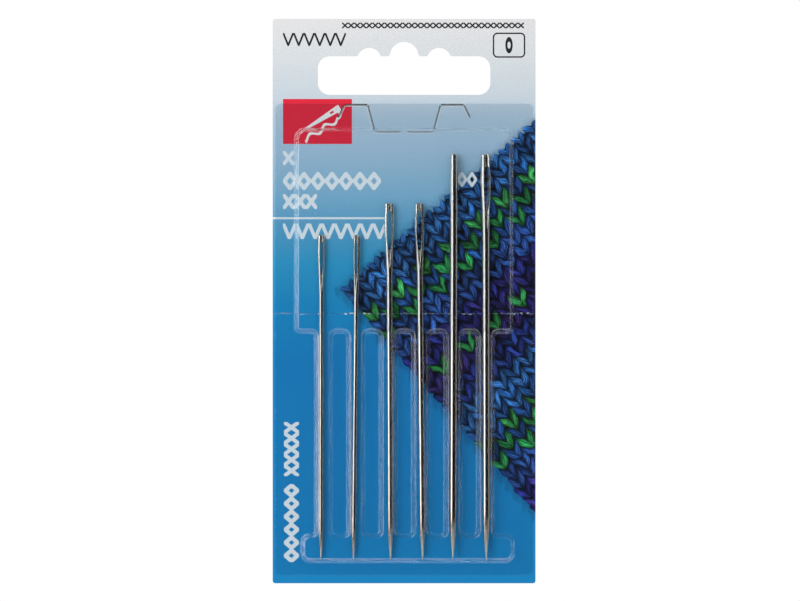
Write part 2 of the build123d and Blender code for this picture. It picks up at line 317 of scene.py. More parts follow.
def printed_place(across, down):
    """A place in the picture as X and Z in mm: its distance from the card's middle and from the
    card's foot in picture points, divided by the points in a millimetre."""
    x = (across - picture_card_middle) / points_per_mm
    return x, (picture_card_foot - down) / points_per_mm + card_foot


card_finish, tree = new_finish("printed_board")
card_mm = own_millimetres(tree)
card_x, card_y, card_z = put(tree, "SeparateXYZ", card_mm).outputs
picture_card_top = picture_card_foot - (card_top - card_foot) * points_per_mm
print("the card's top edge is", round(picture_card_top, 1), "points down")

# %% Masks for printed shapes
def block(left, top, right, bottom):
    """1 inside a rectangle given by its sides in the picture: X is within half the width of its
    middle, and Z within half the height."""
    x0, z0 = printed_place(left, bottom)
    x1, z1 = printed_place(right, top)
    beside = put(tree, "Math", card_x, (x0 + x1) / 2, (x1 - x0) / 2, operation="COMPARE")
    level = put(tree, "Math", card_z, (z0 + z1) / 2, (z1 - z0) / 2, operation="COMPARE")
    return put(tree, "Math", beside, level, operation="MULTIPLY")


def stitch_row(kind, left, top, right, bottom, count, line, upright=False):
    """A row of count ornament stitches in a rectangle. Along the row, the distance to the nearest
    stitch is the coordinate folded to and fro. A cross is where that distance is the height above
    the row's middle, a diamond where the two add up to 0.8 of half the row's height, and a zigzag
    where the height follows the folded coordinate. line is half the stroke's width in mm."""
    x0, z0 = printed_place(left, bottom)
    x1, z1 = printed_place(right, top)
    run, rise = (card_z, card_x) if upright else (card_x, card_z)
    (start, end), (low, high) = ((z0, z1), (x0, x1)) if upright else ((x0, x1), (z0, z1))
    pitch, half = (end - start) / count, (high - low) / 2
    shifted = put(tree, "Math", run, start + pitch / 2, operation="SUBTRACT")
    folded = put(tree, "Math", shifted, pitch / 2, operation="PINGPONG")
    height = put(tree, "Math", rise, (low + high) / 2, operation="SUBTRACT")
    level = put(tree, "Math", height, operation="ABSOLUTE")
    scaled = put(tree, "Math", folded, 2 * half / pitch, operation="MULTIPLY")
    if kind == "cross":
        mark = put(tree, "Math", scaled, level, line, operation="COMPARE")
    elif kind == "diamond":
        summed = put(tree, "Math", scaled, level, operation="ADD")
        mark = put(tree, "Math", summed, half * 0.8, line, operation="COMPARE")
    else:
        doubled = put(tree, "Math", scaled, 2.0, -half * 0.9, operation="MULTIPLY_ADD")
        mark = put(tree, "Math", doubled, height, line, operation="COMPARE")
    return put(tree, "Math", mark, block(left, top, right, bottom), operation="MULTIPLY")


def together(masks):
    """1 where any of the masks is 1."""
    total = masks[0]
    for mask in masks[1:]:
        total = put(tree, "Math", total, mask, operation="MAXIMUM")
    return total


print("one picture point is", round(1 / points_per_mm, 3), "mm on the card")

# %% [markdown]
# ### Ground colour
# The ground runs from warm grey at the hang slot to a strong blue at the bottom. On press this is a
# vignette of cyan over black, which gains colour quickly in the middle of the card, so the ramp has
# more stops there. A fine grain of a quarter millimetre stands for the print's screen.

# %% Ground colour
share_of_rise = put(tree, "MapRange", card_z, card_foot, card_top, 0.0, 1.0)
ground_stops = [
    (583, "#0180BC"), (360, "#027FBE"), (305, "#0C8AC2"), (262, "#2A98C6"), (228, "#569FC6"),
    (200, "#7AAFCE"), (174, "#90B7D0"), (150, "#A2BED4"), (118, "#AFC4D4"), (98, "#C3CFD9"),
    (60, "#D3D9DD"), (24, "#DDDDDF")]
ground = lay_colours(put(tree, "ValToRGB", share_of_rise), [
    ((printed_place(0, down)[1] - card_foot) / (card_top - card_foot), code) for down, code in ground_stops])
screen = put(tree, "TexNoise", card_mm, Scale=4.0, Detail=1.0)
screen_tone = put(tree, "MapRange", screen, 0.3, 0.7, 0.95, 1.05)
print_colour = put(tree, "MixRGB", 1.0, ground, screen_tone, blend_type="MULTIPLY")
print(len(ground_stops), "stops between", ground_stops[-1][1], "and", ground_stops[0][1])

# %% [markdown]
# ### The knitted swatch in the picture
# The card shows a piece of knitting, and a stocking stitch is a column of small Vs. Each V is two
# strands that rise outwards from the column's middle. So the row number is the height plus a share
# of the distance from that middle, rounded down, and what is left over runs across the strand and
# shades it round. Thin streaks along the strand are its fibres. The rows take their colours from two
# ramps, and a chequer of rows and columns chooses between them, as in two-colour knitting.

# %% Stitches of the swatch
def towards(x, z, angle):
    """How far a place lies towards a direction: x times its cosine plus z times its sine."""
    upward = put(tree, "Math", z, math.sin(angle), operation="MULTIPLY")
    return put(tree, "Math", x, math.cos(angle), upward, operation="MULTIPLY_ADD")


swatch_corner = printed_place(340, 290)
swatch_tilt = math.radians(41)
stitch_width, stitch_height, strand_rise = 3.3, 2.35, 0.85
lean = put(tree, "TexNoise", card_mm, Scale=0.45, Detail=2.0).outputs["Color"]
wander = put(tree, "VectorMath", lean, (0.5, 0.5, 0.5), operation="SUBTRACT")
wandering = put(tree, "VectorMath", wander, (1.5, 1.5, 1.5), card_mm, operation="MULTIPLY_ADD")
loose_x, _, loose_z = put(tree, "SeparateXYZ", wandering).outputs
from_x = put(tree, "Math", loose_x, swatch_corner[0], operation="SUBTRACT")
from_z = put(tree, "Math", loose_z, swatch_corner[1], operation="SUBTRACT")
along_rows = towards(from_x, from_z, swatch_tilt)
down_rows = towards(from_x, from_z, swatch_tilt - quarter_turn)
columns = put(tree, "Math", along_rows, stitch_width, operation="DIVIDE")
column = put(tree, "Math", columns, operation="FLOOR")
half_column = put(tree, "Math", columns, 0.5, operation="PINGPONG")
inwards = put(tree, "Math", half_column, 2.0, operation="MULTIPLY")
outwards = put(tree, "Math", 1.0, inwards, operation="SUBTRACT")
risen = put(tree, "Math", outwards, strand_rise, operation="MULTIPLY")
strands = put(tree, "Math", down_rows, 1 / stitch_height, risen, operation="MULTIPLY_ADD")
row = put(tree, "Math", strands, operation="FLOOR")
over_strand = put(tree, "Math", strands, operation="FRACT")
print("stitches of", stitch_width, "by", stitch_height, "mm, corner at", np.round(swatch_corner, 2))

# %% Round shade of the yarn
def arch(share, power):
    """Rises from 0 to 1 and falls back while share runs from 0 to 1: the sine of share times pi,
    to a power that makes it broader or narrower."""
    half_turn = put(tree, "Math", share, math.pi, operation="MULTIPLY")
    return put(tree, "Math", put(tree, "Math", half_turn, operation="SINE"), power, operation="POWER")


relief = put(tree, "Math", arch(over_strand, 0.9), arch(outwards, 0.45), operation="MULTIPLY")
relief_tone = put(tree, "MapRange", relief, 0.15, 0.95, 0.06, 1.0)
arm = put(tree, "Math", put(tree, "Math", columns, 2.0, operation="MULTIPLY"), operation="FLOOR")
one_stitch = put(tree, "TexWhiteNoise", put(tree, "CombineXYZ", arm, row, 3.0)).outputs["Value"]
stitch_tone = put(tree, "MapRange", one_stitch, 0.0, 1.0, 0.4, 1.25)
print("a strand rises", round(strand_rise * stitch_height, 2), "mm over half a stitch")

# %% Fibres and plies of the yarn
along_fibre = put(tree, "Math", columns, 3.0, operation="MULTIPLY")
over_fibre = put(tree, "Math", strands, 7.0, operation="MULTIPLY")
over_fibre = put(tree, "Math", outwards, 2.2, over_fibre, operation="MULTIPLY_ADD")
own_fibres = put(tree, "Math", column, 3.7, operation="MULTIPLY")
fibre_place = put(tree, "CombineXYZ", along_fibre, over_fibre, own_fibres)
fibres = put(tree, "TexNoise", fibre_place, Scale=1.0, Detail=4.0, Roughness=0.8)
twist = put(tree, "Math", over_strand, 20.0, operation="MULTIPLY")
twist = put(tree, "Math", outwards, 9.0, twist, operation="MULTIPLY_ADD")
twist = put(tree, "Math", fibres, 9.0, twist, operation="MULTIPLY_ADD")
plies = put(tree, "MapRange", put(tree, "Math", twist, operation="SINE"), -1.0, 1.0, 0.55, 1.2)
fibre_tone = put(tree, "MapRange", fibres, 0.4, 0.62, 0.1, 2.0)
patches = put(tree, "TexNoise", card_mm, Scale=0.09, Detail=1.0)
depth_of_dye = put(tree, "MapRange", patches, 0.35, 0.65, 0.62, 1.3)
yarn_tone = relief_tone
for tone in (fibre_tone, plies, stitch_tone, depth_of_dye):
    yarn_tone = put(tree, "Math", yarn_tone, tone, operation="MULTIPLY")
print("the yarn's shade is a product of 5 tones")

# %% Colours of the rows
band_rows = 14
row_in_band = put(tree, "Math", row, float(band_rows), operation="FLOORED_MODULO")
band = put(tree, "Math", row_in_band, 1 / band_rows, operation="MULTIPLY")
plain_stops = [
    (0, "#2F74C4"), (3, "#2A66B8"), (6, "#2C57A8"), (8, "#2C3490"), (10, "#3A2C86"), (12, "#2A3F98")]
chequer_stops = [
    (0, "#3A80CC"), (3, "#46C064"), (4, "#2FA85A"), (6, "#305FB0"), (8, "#38348C"), (10, "#3DB45E"),
    (11, "#48388E"), (12, "#2C4CA0")]
row_colours = []
just_before = 0.02
for stops in (plain_stops, chequer_stops):
    ramp = put(tree, "ValToRGB", band)
    ramp.color_ramp.interpolation = "CONSTANT"
    places = [(max(number / band_rows - just_before, 0), code) for number, code in stops]
    row_colours.append(lay_colours(ramp, places))
steps = put(tree, "Math", column, row, operation="ADD")
chequer = put(tree, "Math", steps, 2.0, operation="FLOORED_MODULO")
dyed = put(tree, "MixRGB", chequer, *row_colours)
yarn = put(tree, "MixRGB", 1.0, dyed, yarn_tone, blend_type="MULTIPLY")
print("a band of", band_rows, "rows, then it repeats")

# %% Outline and shadow of the swatch
shadow_width = 1.6
edge_bend = put(tree, "Math", relief, 0.9, -0.5, operation="MULTIPLY_ADD")
inside_side = put(tree, "Math", along_rows, edge_bend, operation="ADD")
inside_top = put(tree, "Math", down_rows, edge_bend, operation="ADD")
inside = put(tree, "Math", inside_side, inside_top, operation="MINIMUM")
swatch = put(tree, "Math", inside, 0.0, operation="GREATER_THAN")
swatch_shadow = put(tree, "MapRange", inside, -shadow_width, 0.0, 0.0, 0.4, interpolation_type="SMOOTHSTEP")
print_colour = put(tree, "MixRGB", swatch_shadow, print_colour, paint("#0B3C66"))
print_colour = put(tree, "MixRGB", swatch, print_colour, yarn)
print("the swatch is turned by", round(math.degrees(swatch_tilt)), "degrees")

# %% [markdown]
# ### Blocks, rules and ornament stitches
# The front carries a red block, a thin white rule and lines of white and black marks. Their places
# are filled with the stitches that such a needle makes: crosses, chains and zigzags, at the height
# of the lines that they stand for. The red block holds a threaded needle: a band that tapers to a
# point, with an eye cut out of it, and a thread that waves beside it and turns into the eye as half
# a ring.

# %% Red block
red_sides = {"left": 283, "top": 99, "right": 352, "bottom": 144}
print_colour = put(tree, "MixRGB", block(**red_sides), print_colour, paint("#E0203A"))
icon_middle = printed_place(317.5, 121.5)
icon_tilt = math.radians(32)
icon_from_x = put(tree, "Math", card_x, icon_middle[0], operation="SUBTRACT")
icon_from_z = put(tree, "Math", card_z, icon_middle[1], operation="SUBTRACT")
along_icon = towards(icon_from_x, icon_from_z, icon_tilt)
off_icon = towards(icon_from_x, icon_from_z, icon_tilt + quarter_turn)
print("the red block's middle is at", np.round(icon_middle, 2), "mm")

# %% Needle in the red block
icon_half_length, icon_eye_place, icon_eye_half_length, icon_eye_half_width = 5.0, 3.6, 0.75, 0.2
icon_taper = put(tree, "MapRange", along_icon, -5.2, 4.4, 0.04, 0.62)
icon_level = put(tree, "Math", off_icon, operation="ABSOLUTE")
icon_body = put(tree, "Math", icon_level, icon_taper, operation="LESS_THAN")
icon_reach = put(tree, "Math", along_icon, 0.0, icon_half_length, operation="COMPARE")
icon_needle = put(tree, "Math", icon_body, icon_reach, operation="MULTIPLY")
eye_level = put(tree, "Math", along_icon, icon_eye_place, icon_eye_half_length, operation="COMPARE")
eye_breadth = put(tree, "Math", off_icon, 0.0, icon_eye_half_width, operation="COMPARE")
icon_eye = put(tree, "Math", eye_level, eye_breadth, operation="MULTIPLY")
icon_needle = put(tree, "Math", icon_needle, icon_eye, operation="SUBTRACT", use_clamp=True)
print("needle in the block:", 2 * icon_half_length, "mm long")

# %% Thread in the red block
thread_off, thread_swing, turn_radius = -1.7, 0.45, 0.85
thread_phase = put(tree, "Math", along_icon, 1.9, operation="MULTIPLY")
thread_wave = put(tree, "Math", thread_phase, operation="SINE")
thread_path = put(tree, "Math", thread_wave, thread_swing, thread_off, operation="MULTIPLY_ADD")
thread_line = put(tree, "Math", off_icon, thread_path, 0.26, operation="COMPARE")
thread_run = put(tree, "Math", along_icon, -0.2, 3.8, operation="COMPARE")
thread_line = put(tree, "Math", thread_line, thread_run, operation="MULTIPLY")
turn_along = put(tree, "Math", along_icon, icon_eye_place, operation="SUBTRACT")
turn_off = put(tree, "Math", off_icon, 0.75, operation="ADD")
from_turn = put(tree, "CombineXYZ", turn_along, turn_off, 0.0)
turn_reach = put(tree, "VectorMath", from_turn, operation="LENGTH").outputs["Value"]
turn_ring = put(tree, "Math", turn_reach, turn_radius, 0.24, operation="COMPARE")
past_eye = put(tree, "Math", turn_along, 0.0, operation="GREATER_THAN")
thread_turn = put(tree, "Math", turn_ring, past_eye, operation="MULTIPLY")
icon = together([icon_needle, thread_line, thread_turn])
print_colour = put(tree, "MixRGB", icon, print_colour, paint("#E9E7E4"))
print("the thread waves", thread_swing, "mm to each side")

# %% White ornaments and rule
# kind, sides in picture points (left, top, right, bottom), count, half stroke in mm, upright
white_rows = {
    "single cross": ("cross", 283, 151, 294, 165, 1, 0.55),
    "chain": ("diamond", 283, 172, 381, 190, 7, 0.62),
    "three crosses": ("cross", 283, 194, 317, 209, 3, 0.62),
    "zigzag": ("zigzag", 283, 223.5, 386, 239, 8, 0.85),
    "short chain": ("diamond", 457, 172, 477, 187, 2, 0.5),
    "upright crosses": ("cross", 284, 422, 299, 476, 5, 0.62, True),
    "upright chain": ("diamond", 284, 484, 299, 562, 6, 0.6, True),
}
rule_sides = {"left": 272, "top": 217.2, "right": 386, "bottom": 219.2}
white_marks = together([stitch_row(*place) for place in white_rows.values()] + [block(**rule_sides)])
print_colour = put(tree, "MixRGB", white_marks, print_colour, paint("#DFE6EA"))
print("white:", ", ".join(white_rows), "and a rule")

# %% Black ornaments and the box
black_rows = {
    "fine crosses": ("cross", 342, 22.6, 524, 28.4, 30, 0.2),
    "zigzag": ("zigzag", 283, 33, 346, 46, 6, 0.5),
}
box_middle = printed_place(509, 45.2)
box_flat, box_corner_radius, box_line = (2.2, 9.0, 1.5), 0.75, 0.14
from_box = put(tree, "VectorMath", card_mm, (box_middle[0], 0.0, box_middle[1]), operation="SUBTRACT")
box_fold = put(tree, "VectorMath", from_box, operation="ABSOLUTE")
box_fold = put(tree, "VectorMath", box_fold, box_flat, operation="SUBTRACT")
box_over = put(tree, "VectorMath", box_fold, (0.0, 0.0, 0.0), operation="MAXIMUM")
box_reach = put(tree, "VectorMath", box_over, operation="LENGTH").outputs["Value"]
box_outline = put(tree, "Math", box_reach, box_corner_radius, box_line, operation="COMPARE")
squeezed = put(tree, "VectorMath", from_box, (1.0, 0.0, 0.45), operation="MULTIPLY")
eye_reach = put(tree, "VectorMath", squeezed, operation="LENGTH").outputs["Value"]
eye_outline = put(tree, "Math", eye_reach, 0.5, 0.2, operation="COMPARE")
black_marks = together([stitch_row(*place) for place in black_rows.values()] + [box_outline, eye_outline])
print_colour = put(tree, "MixRGB", black_marks, print_colour, paint("#26282B"))
print("black:", ", ".join(black_rows), "and a boxed eye")

# %% [markdown]
# ### Cuts, crease and raw board
# A die has cut the closing tongue and pressed the fold. Its rule rounds the board's edges, so one
# edge of the cut is lit and the other lies in shade. That light and shade are painted into the print:
# a dark line of painted shade on one side of the cut and a pale line of painted highlight on the
# other. Along the fold the coated face is rubbed, and has cracked here and there, which a noise
# threshold draws. Away from the printed face the board is plain: off-white, with fibres. A point is
# on the printed face when it lies far enough to the front, and the pressed fold, which lies deeper,
# is told by its height too.

# %% Cut
def cut_line(start, end, width, aside):
    """1 within half a width of a straight cut, and of its mirror image, moved aside a little: the
    reach towards the cut's normal is near the cut's own, and Z (or X for a level cut) is between
    the ends."""
    (x0, z0), (x1, z1) = start, end
    normal = math.atan2(x0 - x1, z1 - z0)
    own_reach = math.cos(normal) * x0 + math.sin(normal) * z0 + aside
    near = put(tree, "Math", towards(mirrored_x, card_z, normal), own_reach, width / 2, operation="COMPARE")
    along, first, last = (mirrored_x, x0, x1) if z0 == z1 else (card_z, z0, z1)
    between = put(tree, "Math", along, (first + last) / 2, abs(last - first) / 2, operation="COMPARE")
    return put(tree, "Math", near, between, operation="MULTIPLY")


mirrored_x = put(tree, "Math", card_x, operation="ABSOLUTE")
cut_points = [
    (slit_end_width / 2, tongue_root - slit_end_length), (slit_shoulder_width / 2, tongue_root),
    (tongue_root_width / 2, tongue_root), (tongue_tip_width / 2, tongue_tip), (nick_width / 2, tongue_tip)]
cut_runs = list(zip(cut_points, cut_points[1:]))
# width and shift in mm, strength and colour: first the painted shade along one edge, then the painted
# highlight along the other
painted_cut_light = [(0.2, 0.16, 0.85, "#141B20"), (0.14, -0.16, 0.45, "#E4EAEE")]
for width, aside, strength, code in painted_cut_light:
    cut_light_mask = together([cut_line(*run, width, aside) for run in cut_runs])
    cut_light_share = put(tree, "Math", cut_light_mask, strength, operation="MULTIPLY")
    print_colour = put(tree, "MixRGB", cut_light_share, print_colour, paint(code))
print(len(cut_runs), "cuts, mirrored")

# %% Crease
crack_width, rubbed_width = 0.34, 0.2
crack_place = put(tree, "VectorMath", card_mm, (1.0, 1.0, 2.0), operation="MULTIPLY")
crack_noise = put(tree, "TexNoise", crack_place, Scale=1.4, Detail=4.0, Roughness=0.6)
cracked = put(tree, "Math", crack_noise, 0.6, operation="GREATER_THAN")
at_crack = put(tree, "Math", card_z, crease, crack_width / 2, operation="COMPARE")
cracks = put(tree, "Math", cracked, at_crack, operation="MULTIPLY")
print_colour = put(tree, "MixRGB", cracks, print_colour, paint("#EDEFF0"))
wear = put(tree, "TexNoise", card_mm, Scale=3.0, Detail=2.0)
worn = put(tree, "MapRange", wear, 0.45, 0.6, 0.0, 0.4)
at_rub = put(tree, "Math", card_z, crease, rubbed_width / 2, operation="COMPARE")
rubbed = put(tree, "Math", at_rub, worn, operation="MULTIPLY")
print_colour = put(tree, "MixRGB", rubbed, print_colour, paint("#A9C4D6"))
print("crease at", round(crease, 2), "mm")

# %% Board and finish
face_slack, score_half_width, score_flank = 0.01, 0.3, -0.05
grain_place = put(tree, "VectorMath", card_mm, (1.0, 1.0, 4.0), operation="MULTIPLY")
board_fibres = put(tree, "TexNoise", grain_place, Scale=1.6, Detail=5.0, Roughness=0.7)
board_stops = [(0.3, "#DDDAD2"), (0.55, "#ECEAE4"), (0.75, "#F3F2EE")]
raw_board = lay_colours(put(tree, "ValToRGB", board_fibres), board_stops)
at_score = put(tree, "Math", card_z, crease, score_half_width, operation="COMPARE")
on_flank = put(tree, "Math", card_y, score_flank, operation="LESS_THAN")
pressed_in = put(tree, "Math", at_score, on_flank, operation="MULTIPLY")
on_plane = put(tree, "Math", card_y, print_plane + face_slack, operation="LESS_THAN")
printed_face = put(tree, "Math", on_plane, pressed_in, operation="MAXIMUM")
card_colour = put(tree, "MixRGB", printed_face, raw_board, print_colour)
varnish = put(tree, "MapRange", printed_face, 0.0, 1.0, 0.72, 0.36)
gloss_cloud = put(tree, "TexNoise", card_mm, Scale=0.3, Detail=3.0)
gloss_wear = put(tree, "MapRange", gloss_cloud, 0.3, 0.7, 0.88, 1.12)
card_roughness = put(tree, "Math", varnish, gloss_wear, operation="MULTIPLY")
tooth = put(tree, "TexNoise", card_mm, Scale=5.0, Detail=4.0)
surface = put(tree, "Bump", Strength=0.08, Distance=0.03 * MM, Height=tooth)
card_shader = put(
    tree, "BsdfPrincipled", Base_Color=card_colour, Roughness=card_roughness,
    Specular_IOR_Level=0.3, Normal=surface)
put(tree, "OutputMaterial", card_shader)
for node_name in ("card_header", "card_base", "card_tongue"):
    frame["nodes"][node_name].data.materials.clear()
    frame["nodes"][node_name].data.materials.append(card_finish)
print("card print:", len(tree.nodes), "nodes")

# %% [markdown]
# ## The formed blister
# A blister is a sheet of clear polyester, heated and drawn over a mould. Its walls lean by the draft
# that lets it leave the mould, and its feet and rims are rounded, because hot film doesn't fill a
# sharp corner. That is a profile carried along a path: the profile is foot curve, wall and rim
# curve, and the path is the outline of the chamber, the six ribs and the trough, or of one of the
# islands between the ribs. At right-angled corners the path's arcs keep their middles when it is
# moved inwards, so every ring is the first one plus an inset times the same inward normal.

# %% Outlines of the relief
def rounded_path(corners, radii, steps=14):
    """Points and inward normals of a closed path with rounded right-angled corners, drawn
    anticlockwise. A corner's arc has its middle one radius in from both sides (one radius out at an
    inner corner), and its points are that middle plus the radius times a turning direction."""
    corners = np.array(corners, dtype=float)
    radii = np.array(radii, dtype=float)[:, None, None]
    coming = corners - np.roll(corners, 1, axis=0)
    going = np.roll(coming, -1, axis=0)
    coming /= np.linalg.norm(coming, axis=1, keepdims=True)
    going /= np.linalg.norm(going, axis=1, keepdims=True)
    inward_before = np.stack([-coming[:, 1], coming[:, 0]], axis=1)[:, None, :]
    inward_after = np.stack([-going[:, 1], going[:, 0]], axis=1)[:, None, :]
    outer_corner = np.sign(coming[:, 0] * going[:, 1] - coming[:, 1] * going[:, 0])[:, None, None]
    turn = np.linspace(0, quarter_turn, steps)[None, :, None]
    heading = -outer_corner * (np.cos(turn) * inward_before + np.sin(turn) * inward_after)
    middle = corners[:, None, :] + outer_corner * radii * (inward_before + inward_after)
    points = middle + radii * heading
    return points.reshape(-1, 2), (-outer_corner * heading).reshape(-1, 2)


first_rib, last_rib = rib_centres[0] - rib_half, rib_centres[-1] + rib_half
trough_left, trough_right = first_rib - trough_left_reach, last_rib + trough_right_reach
chamber_radius, chamber_foot_radius, trough_radius, sheet_radius = 2.3, 1.15, 1.8, 1.0
mouth_radius, rib_end_radius = 0.7, 0.6
left_radii = [
    chamber_radius, chamber_foot_radius, mouth_radius, rib_end_radius, trough_radius, trough_radius]
relief_path = rounded_path(
    [(-chamber_half_width, chamber_top), (-chamber_half_width, chamber_foot), (first_rib, chamber_foot),
     (first_rib, trough_top), (trough_left, trough_top), (trough_left, trough_foot),
     (trough_right, trough_foot), (trough_right, trough_top), (last_rib, trough_top),
     (last_rib, chamber_foot), (chamber_half_width, chamber_foot), (chamber_half_width, chamber_top)],
    left_radii + left_radii[::-1])
island_paths = [
    rounded_path(
        [(left + rib_half, trough_top), (right - rib_half, trough_top),
         (right - rib_half, chamber_foot), (left + rib_half, chamber_foot)],
        [rib_end_radius, rib_end_radius, mouth_radius, mouth_radius])
    for left, right in zip(rib_centres, rib_centres[1:])]
sheet_path = rounded_path(
    [(-sheet_half_width, sheet_top), (-sheet_half_width, sheet_foot),
     (sheet_half_width, sheet_foot), (sheet_half_width, sheet_top)],
    [sheet_radius] * 4)
print("relief outline:", len(relief_path[0]), "points; islands:", len(island_paths))

# %% Profile of the wall
draft = math.radians(15.5)
foot_radius, rim_radius = 0.26, 0.36
collar, wall_collar_length = 0.06, 0.05
lean_in = form_height * math.tan(draft)
steepest = quarter_turn - draft
foot_reach = foot_radius * math.tan(steepest / 2)
rim_reach = rim_radius * math.tan(steepest / 2)
wall_collar = np.array([math.sin(draft), math.cos(draft)]) * wall_collar_length
foot_turn = np.linspace(0, steepest, 9)
rim_turn = np.linspace(steepest, 0, 10)
wall_inset = np.concatenate([
    [-foot_reach - collar],
    -foot_reach + foot_radius * np.sin(foot_turn),
    [-foot_reach + foot_radius * math.sin(steepest) + wall_collar[0]],
    [lean_in + rim_reach - rim_radius * math.sin(steepest) - wall_collar[0]],
    lean_in + rim_reach - rim_radius * np.sin(rim_turn),
    [lean_in + rim_reach + collar]])
wall_height = np.concatenate([
    [0],
    foot_radius * (1 - np.cos(foot_turn)),
    [foot_radius * (1 - math.cos(steepest)) + wall_collar[1]],
    [form_height - rim_radius * (1 - math.cos(steepest)) - wall_collar[1]],
    form_height - rim_radius * (1 - np.cos(rim_turn)),
    [form_height]])
print("wall profile:", len(wall_inset), "points, leans in", round(lean_in, 2), "mm")

# %% Rings of film
def wall_rings(path, side):
    """The wall's surface: ring j is the path moved by inset j along its inward normals (side 1), or
    outwards for an island (side -1), at height j in front of the sheet."""
    points, inward = path
    flat = points[None] + side * wall_inset[:, None, None] * inward[None]
    depth = np.broadcast_to((sheet_face - wall_height)[:, None], flat.shape[:2])
    return np.stack([flat[..., 0], depth, flat[..., 1]], axis=-1)


def ring_faces(first, rings, around, side):
    """Four-sided faces between neighbouring rings that close on themselves; an island's are turned
    over, so that all look outwards."""
    ring = np.arange(rings - 1)[:, None]
    step = np.arange(around)[None, :]
    following = (step + 1) % around
    faces = first + np.stack([ring * around + step, ring * around + following,
                              (ring + 1) * around + following, (ring + 1) * around + step], axis=-1)
    return faces.reshape(-1, 4)[:, ::side]


def flat_faces(points, loops):
    """Triangles that fill a flat outline with holes, all turned to look along -Y: their signed area
    in X and Z is made positive."""
    outlines = [[(points[i, 0], points[i, 2], 0.0) for i in loop] for loop in loops]
    numbers = np.concatenate(loops)
    triangles = numbers[np.array(tessellate_polygon(outlines))]
    a, b, c = (points[triangles[:, k]][:, [0, 2]] for k in range(3))
    area = (b[:, 0] - a[:, 0]) * (c[:, 1] - a[:, 1]) - (b[:, 1] - a[:, 1]) * (c[:, 0] - a[:, 0])
    triangles[area < 0] = triangles[area < 0][:, ::-1]
    return triangles[np.abs(area) > 1e-9]


walls = [(relief_path, 1)] + [(path, -1) for path in island_paths]
sheet_collar = 0.05
margin_insets = np.array([0.0, sheet_collar])
margin = sheet_path[0][None] + margin_insets[:, None, None] * sheet_path[1][None]
margin_count = len(sheet_path[0])
margin_depth = np.full(margin.shape[:2], sheet_face)
film_points = [np.stack([margin[..., 0], margin_depth, margin[..., 1]], axis=-1).reshape(-1, 3)]
film_faces = ring_faces(0, 2, margin_count, 1).tolist()
feet, rims = [], []
for path, side in walls:
    first = sum(map(len, film_points))
    rings = wall_rings(path, side)
    around = rings.shape[1]
    film_points.append(rings.reshape(-1, 3))
    film_faces += ring_faces(first, len(rings), around, side).tolist()
    feet.append(first + np.arange(around))
    rims.append(first + (len(rings) - 1) * around + np.arange(around))
film_points = np.concatenate(film_points)
print("walls:", len(film_faces), "faces")

# %% [markdown]
# ### Flats, and the film's thickness
# The flat margin, the flat top and the floors between the ribs are filled with triangles. The film
# gets its thickness backwards from this outer face. Where film is drawn over the mould it stretches
# and thins, most at the top, so a vertex group scales the thickness down with the height.

# %% Flats and the finished piece
thinning = 0.72
film_faces += flat_faces(film_points, [margin_count + np.arange(margin_count), feet[0]]).tolist()
film_faces += flat_faces(film_points, rims).tolist()
for foot in feet[1:]:
    film_faces += flat_faces(film_points, [foot]).tolist()
clear_blister = new_piece("clear_blister", film_points, film_faces)
clear_blister.data.shade_smooth()
film = clear_blister.modifiers.new("film", "SOLIDIFY")
film.thickness = sheet_thickness * MM
film.offset = -1.0
film.use_even_offset = True
drawn = clear_blister.vertex_groups.new(name="drawn_thin")
drawn_share = np.round(1 - thinning * np.clip((sheet_face - film_points[:, 1]) / form_height, 0, 1), 4)
for weight in np.unique(drawn_share):
    drawn.add(np.flatnonzero(drawn_share == weight).tolist(), float(weight), "REPLACE")
film.vertex_group = drawn.name
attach(clear_blister, "pack")
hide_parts("blister")
print("blister:", len(film_points), "points,", len(film_faces), "faces")

# %% [markdown]
# ### Clear polyester
# The film is glass-clear polyester. Its refractive index is 1.57, it is smooth, and drawing leaves
# it a little uneven, so that its reflections waver over a few millimetres. Real film is so thin that
# it hardly bends what is seen through it, while a solid wall of glass would draw dark lines there.
# So half of the view passes unbent, and the other half is true glass. The light path lets the
# lamp's light through as well, because clear film casts almost no shadow.

# %% Clear polyester
film_finish, tree = new_finish("clear_polyester")
film_mm = own_millimetres(tree)
long_waves = put(tree, "VectorMath", film_mm, (1.0, 1.0, 0.35), operation="MULTIPLY")
drawn_waves = put(tree, "TexNoise", long_waves, Scale=0.35, Detail=2.0)
fine_waves = put(tree, "TexNoise", film_mm, Scale=2.2, Detail=2.0)
waves = put(tree, "Math", fine_waves, 0.02, drawn_waves, operation="MULTIPLY_ADD")
film_surface = put(tree, "Bump", Strength=0.1, Distance=0.02 * MM, Height=waves)
scuffs = put(tree, "TexNoise", film_mm, Scale=0.8, Detail=6.0, Roughness=0.7)
film_roughness = put(tree, "MapRange", scuffs, 0.35, 0.75, 0.005, 0.02)
clear = put(
    tree, "BsdfPrincipled", Base_Color=paint("#F7FBFD"), Transmission_Weight=1.0, IOR=1.57,
    Roughness=film_roughness, Normal=film_surface, Specular_IOR_Level=0.7,
    Coat_Weight=0.6, Coat_IOR=1.7, Coat_Roughness=0.02)
film_ray = put(tree, "LightPath").outputs
lighting = put(tree, "Math", film_ray["Is Shadow Ray"], film_ray["Is Diffuse Ray"], operation="MAXIMUM")
unbent_share = put(tree, "Math", lighting, 0.5, operation="MAXIMUM")
unbent = put(tree, "BsdfTransparent", paint("#F6F9FB"))
put(tree, "OutputMaterial", put(tree, "MixShader", unbent_share, clear, unbent))
clear_blister.data.materials.append(film_finish)
print("film finish:", len(tree.nodes), "nodes")

